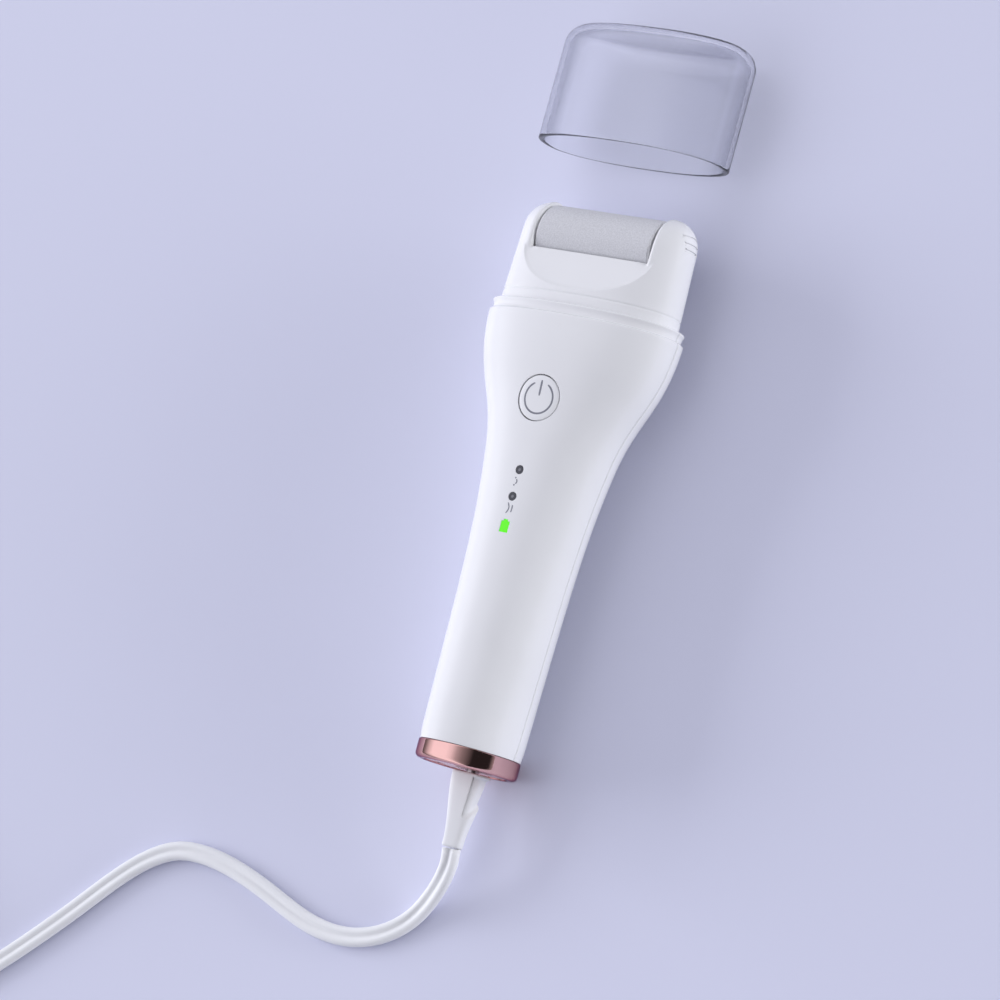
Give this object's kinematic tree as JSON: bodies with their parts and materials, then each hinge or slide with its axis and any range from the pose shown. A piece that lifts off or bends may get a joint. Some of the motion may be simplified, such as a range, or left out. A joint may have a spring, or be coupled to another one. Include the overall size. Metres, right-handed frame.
{
  "type": "electric callus remover",
  "caption": "Cordless electric callus remover with a spinning abrasive roller between two ears, a press button, a lift-off clear cap and a charging cord with a barrel plug and a USB plug.",
  "frame": {"origin": "middle of the box round the device and its cap, on the surface it lies on", "axes": "+Y along the device towards the roller and the cap, +Z out of the front face with the button, +X to the right seen from the front"},
  "size_m": [0.2731, 0.3286, 0.0295],
  "materials": {
    "white_shell": "satin gloss",
    "head_white": "satin gloss",
    "rose_gold": "mirror plating",
    "base_brown": "satin",
    "black_rubber": "matt",
    "steel": "bright",
    "black_plastic": "matt",
    "brass": "bright",
    "board_green": "satin",
    "led_white": "clear",
    "smoked_lens": "gloss",
    "green_lens": "glowing",
    "light_guide": "clear",
    "cell_blue": "printed film, no text",
    "inner_grey": "matt",
    "gear_ivory": "matt",
    "bronze": "sintered",
    "grit": "fine abrasive grit",
    "end_cap_grey": "satin",
    "lead_red": "insulation",
    "lead_black": "insulation",
    "clear_cap": "clear and polished",
    "cord_white": "smooth",
    "plug_white": "satin"
  },
  "bodies": {
    "handle": {"front_shell": "white_shell", "rear_shell": "white_shell", "base_ring": "rose_gold", "base_plate": "base_brown", "base_seal": "black_rubber", "base_screws": "steel", "charge_socket": "black_plastic", "socket_pin": "brass", "tact_switch": "steel", "button_guide": "inner_grey", "control_board": "board_green", "indicator_leds": "led_white", "light_guides": "light_guide", "speed_lens_high": "smoked_lens", "speed_lens_low": "smoked_lens", "battery_lens": "green_lens", "board_screws": "steel", "battery_cell": "cell_blue", "battery_tabs": "steel", "battery_tray": "inner_grey", "motor_can": "steel", "motor_end_bell": "inner_grey", "motor_terminals": "brass", "motor_spacers": "steel", "motor_screws": "steel", "gear_plate": "steel", "idler_pins": "steel", "idler_clips": "steel", "axle_bushes": "bronze", "dust_washers": "black_rubber", "head_shell": "head_white", "collar_seal": "black_rubber", "motor_leads": "lead_red", "battery_leads": "lead_black", "charge_leads": "lead_red", "plug_body": "plug_white", "plug_barrel": "steel", "cord_tube": "cord_white", "cord_coil": "cord_white", "coil_tie": "cord_white", "cord_tail": "cord_white", "usb_housing": "plug_white", "usb_shell": "steel", "usb_tongue": "plug_white"},
    "cap": {"cap": "clear_cap"},
    "button": {"power_button": "white_shell", "switch_plunger": "black_plastic"},
    "roller": {"roller_axle": "steel", "roller_core": "black_plastic", "abrasive_sleeve": "grit", "roller_end_caps": "end_cap_grey", "roller_drive_gear": "gear_ivory"},
    "upper_idler": {"upper_idler_gear": "gear_ivory"},
    "lower_idler": {"lower_idler_gear": "gear_ivory"},
    "rotor": {"motor_shaft": "steel", "motor_pinion": "brass"}
  },
  "joints": [
    {"name": "cap_slide", "type": "slide", "parent": "handle", "child": "cap", "axis": [0, 1, 0], "range_m": [-0.0459, 0.02]},
    {"name": "button_press", "type": "slide", "parent": "handle", "child": "button", "axis": [0, 0, -1], "range_m": [0, 0.0004], "stiffness_N_per_m": 1500, "springref_m": -0.0001},
    {"name": "roller_spin", "type": "hinge", "parent": "handle", "child": "roller", "pos_m": [0, 0.04375, 0.0141], "axis": [1, 0, 0], "continuous": true},
    {"name": "upper_idler_spin", "type": "hinge", "parent": "handle", "child": "upper_idler", "pos_m": [0, 0.03325, 0.0141], "axis": [1, 0, 0], "continuous": true},
    {"name": "lower_idler_spin", "type": "hinge", "parent": "handle", "child": "lower_idler", "pos_m": [0, 0.02125, 0.0141], "axis": [1, 0, 0], "continuous": true},
    {"name": "motor_spin", "type": "hinge", "parent": "handle", "child": "rotor", "pos_m": [0, 0.01175, 0.0141], "axis": [1, 0, 0], "continuous": true}
  ],
  "couplings": [
    {"joint": "upper_idler_spin", "follows": "roller_spin", "ratio": -0.90909},
    {"joint": "lower_idler_spin", "follows": "roller_spin", "ratio": 0.76923},
    {"joint": "motor_spin", "follows": "roller_spin", "ratio": -1.6667}
  ]
}
